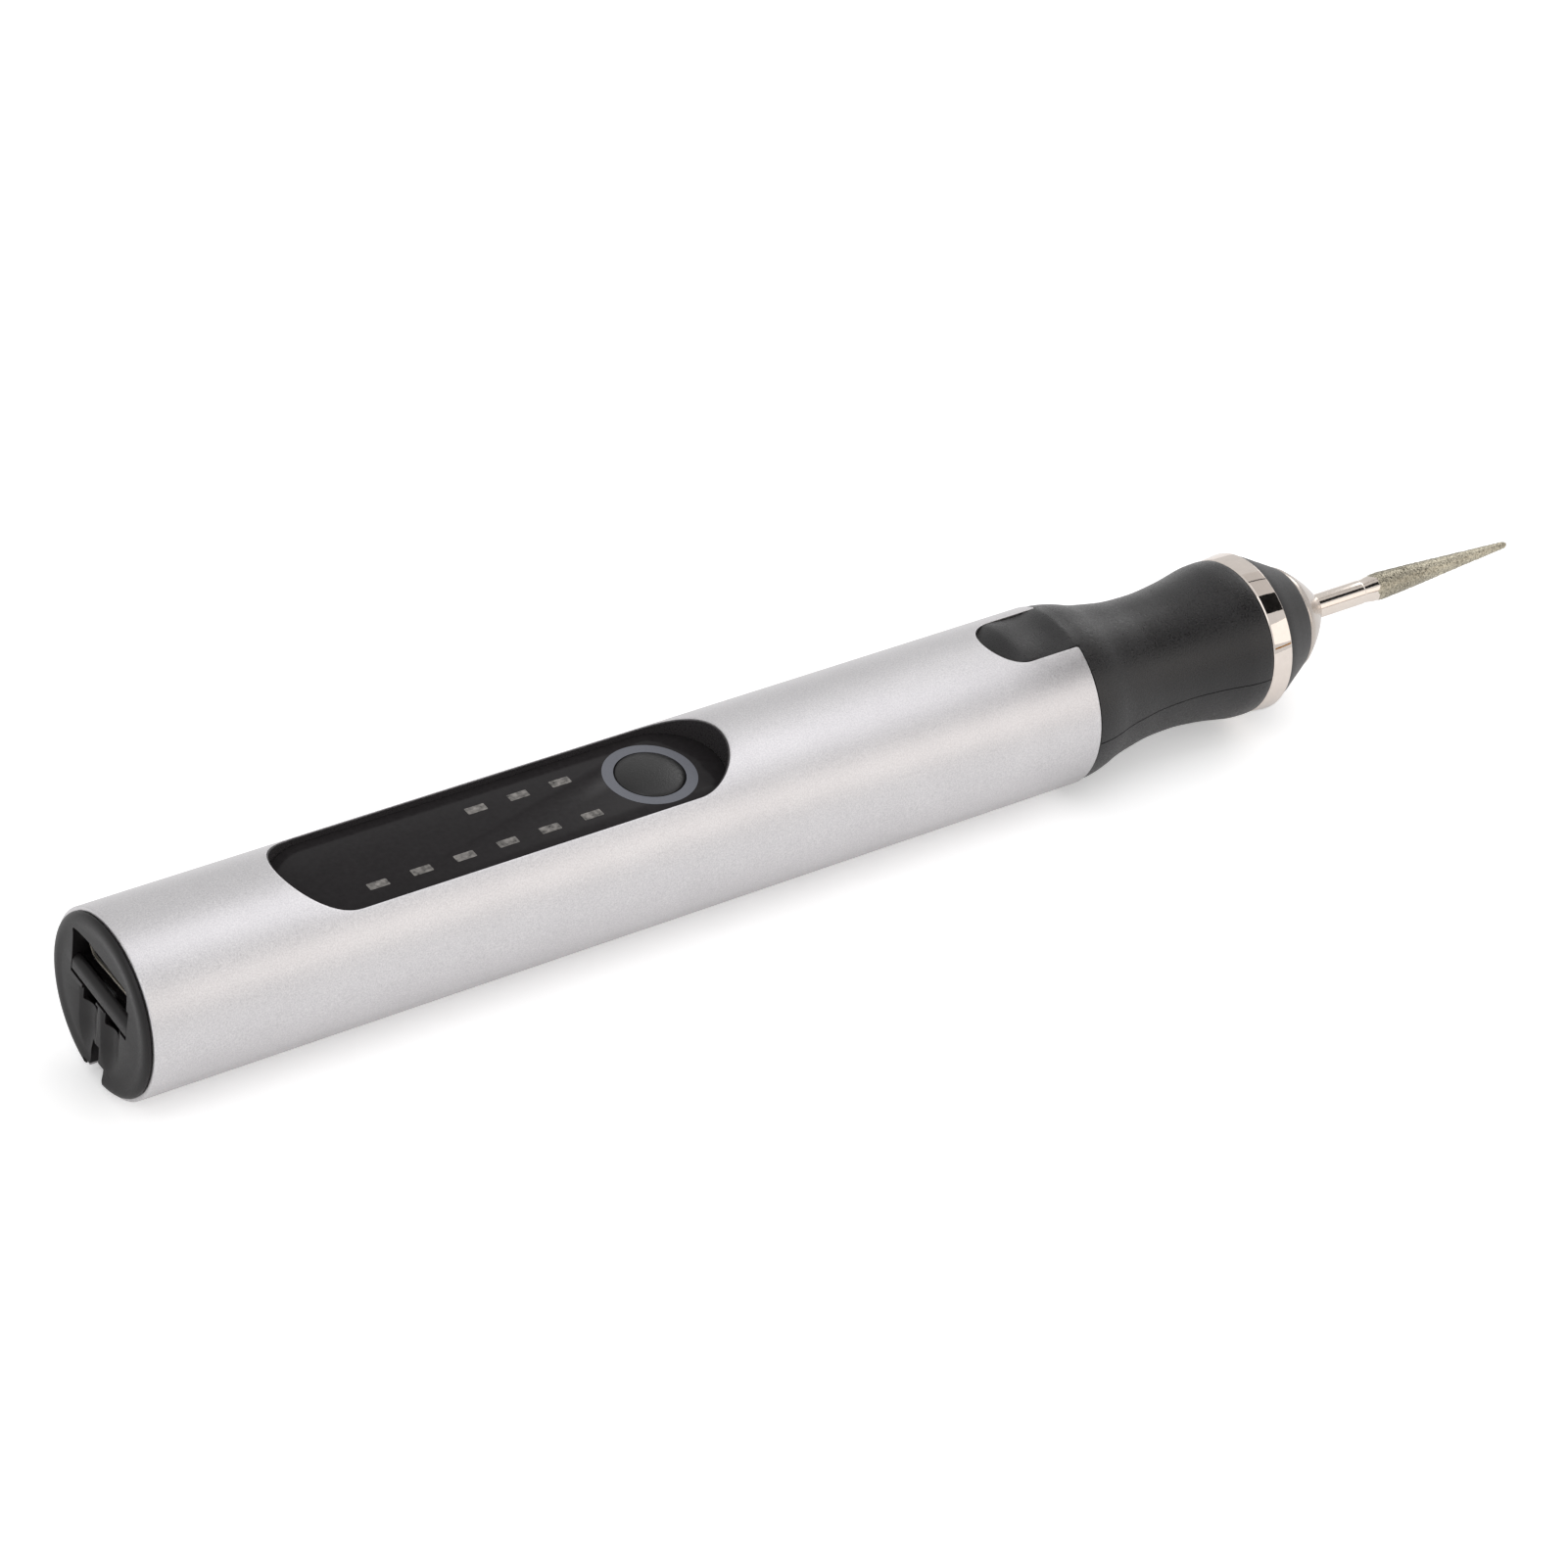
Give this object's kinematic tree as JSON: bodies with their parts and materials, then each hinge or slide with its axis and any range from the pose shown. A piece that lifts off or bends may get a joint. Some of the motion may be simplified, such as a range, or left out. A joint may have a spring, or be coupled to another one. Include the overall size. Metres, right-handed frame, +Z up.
{
  "type": "electric engraving pen",
  "caption": "Slim cordless rotary engraving pen with a silver tube, recessed display, domed button, waisted black grip and a tapered diamond point.",
  "frame": {"origin": "centre of the pen's footprint, at the height of the surface it lies on", "axes": "+X along the pen from the tail to the engraving point, +Z up through the display"},
  "size_m": [0.155, 0.017, 0.017],
  "materials": {
    "anodised_aluminium": "fine blasted and anodised silver",
    "black_abs": "moulded black plastic",
    "black_acrylic": "polished black lens",
    "soft_touch_black": "soft-touch coating with a fine grain",
    "bright_chrome": "mirror-bright plating",
    "satin_nickel": "satin nickel plating",
    "bearing_steel": "ground steel",
    "brass": "turned brass",
    "sintered_bronze": "sintered bronze",
    "board_laminate": "green solder mask",
    "chip_epoxy": "moulded black epoxy",
    "lamp_epoxy": "milky lamp epoxy",
    "cell_sleeve": "blue shrink sleeve",
    "ferrite": "dark ferrite",
    "laminated_iron": "stacked iron sheets",
    "black_rubber": "matte black rubber or foam",
    "red_insulation": "red wire insulation",
    "black_insulation": "black wire insulation"
  },
  "bodies": {
    "housing": {"housing_tube": "anodised_aluminium", "end_cap": "black_abs", "usb_socket_shell": "satin_nickel", "usb_socket_tongue": "chip_epoxy", "display_lens": "black_acrylic", "panel_carrier": "black_abs", "switch_body": "satin_nickel", "lamp_1": "lamp_epoxy", "lamp_2": "lamp_epoxy", "lamp_3": "lamp_epoxy", "lamp_4": "lamp_epoxy", "lamp_5": "lamp_epoxy", "lamp_6": "lamp_epoxy", "lamp_7": "lamp_epoxy", "lamp_8": "lamp_epoxy", "lamp_9": "lamp_epoxy", "control_board": "board_laminate", "charge_chip": "chip_epoxy", "motor_driver_chip": "chip_epoxy", "battery_cell": "cell_sleeve", "battery_tab_rear": "satin_nickel", "battery_tab_front": "satin_nickel", "foam_spacer": "black_rubber", "motor_wire_red": "red_insulation", "motor_wire_black": "black_insulation", "motor_can": "satin_nickel", "motor_end_bell": "black_abs", "motor_rear_bush": "sintered_bronze", "motor_front_bush": "sintered_bronze", "motor_terminal_left": "brass", "motor_terminal_right": "brass", "motor_magnet_upper": "ferrite", "motor_magnet_lower": "ferrite", "motor_mount_ring": "black_rubber", "rear_bearing_outer_race": "bearing_steel", "front_bearing_outer_race": "bearing_steel", "grip_upper_shell": "soft_touch_black", "grip_lower_shell": "soft_touch_black", "trim_ring": "bright_chrome", "nose_cone": "black_abs", "nose_tip": "satin_nickel"},
    "button": {"power_button": "black_abs", "switch_plunger": "chip_epoxy"},
    "rotor": {"rotor_armature": "laminated_iron", "commutator": "brass", "motor_shaft": "bearing_steel", "spindle": "brass", "spindle_set_screw": "bearing_steel", "chuck_clip": "bearing_steel", "rear_bearing_inner_race": "bearing_steel", "front_bearing_inner_race": "bearing_steel"},
    "rear_cage": {"rear_bearing_ball_cage": "bearing_steel"},
    "front_cage": {"front_bearing_ball_cage": "bearing_steel"},
    "bit": {"engraving_bit": "satin_nickel"}
  },
  "joints": [
    {"name": "button_press", "type": "slide", "parent": "housing", "child": "button", "axis": [0, 0, -1], "range_m": [0, 0.00025], "stiffness_N_per_m": 200},
    {"name": "spindle_spin", "type": "hinge", "parent": "housing", "child": "rotor", "pos_m": [0.0336, 0, 0.00849], "axis": [1, 0, 0], "continuous": true},
    {"name": "rear_cage_spin", "type": "hinge", "parent": "housing", "child": "rear_cage", "pos_m": [0.0281, 0, 0.00849], "axis": [1, 0, 0], "continuous": true},
    {"name": "front_cage_spin", "type": "hinge", "parent": "housing", "child": "front_cage", "pos_m": [0.0391, 0, 0.00849], "axis": [1, 0, 0], "continuous": true},
    {"name": "bit_slide", "type": "slide", "parent": "rotor", "child": "bit", "axis": [1, 0, 0], "range_m": [0, 0.018]}
  ],
  "couplings": [
    {"joint": "rear_cage_spin", "follows": "spindle_spin", "ratio": 0.3933},
    {"joint": "front_cage_spin", "follows": "spindle_spin", "ratio": 0.3933}
  ]
}
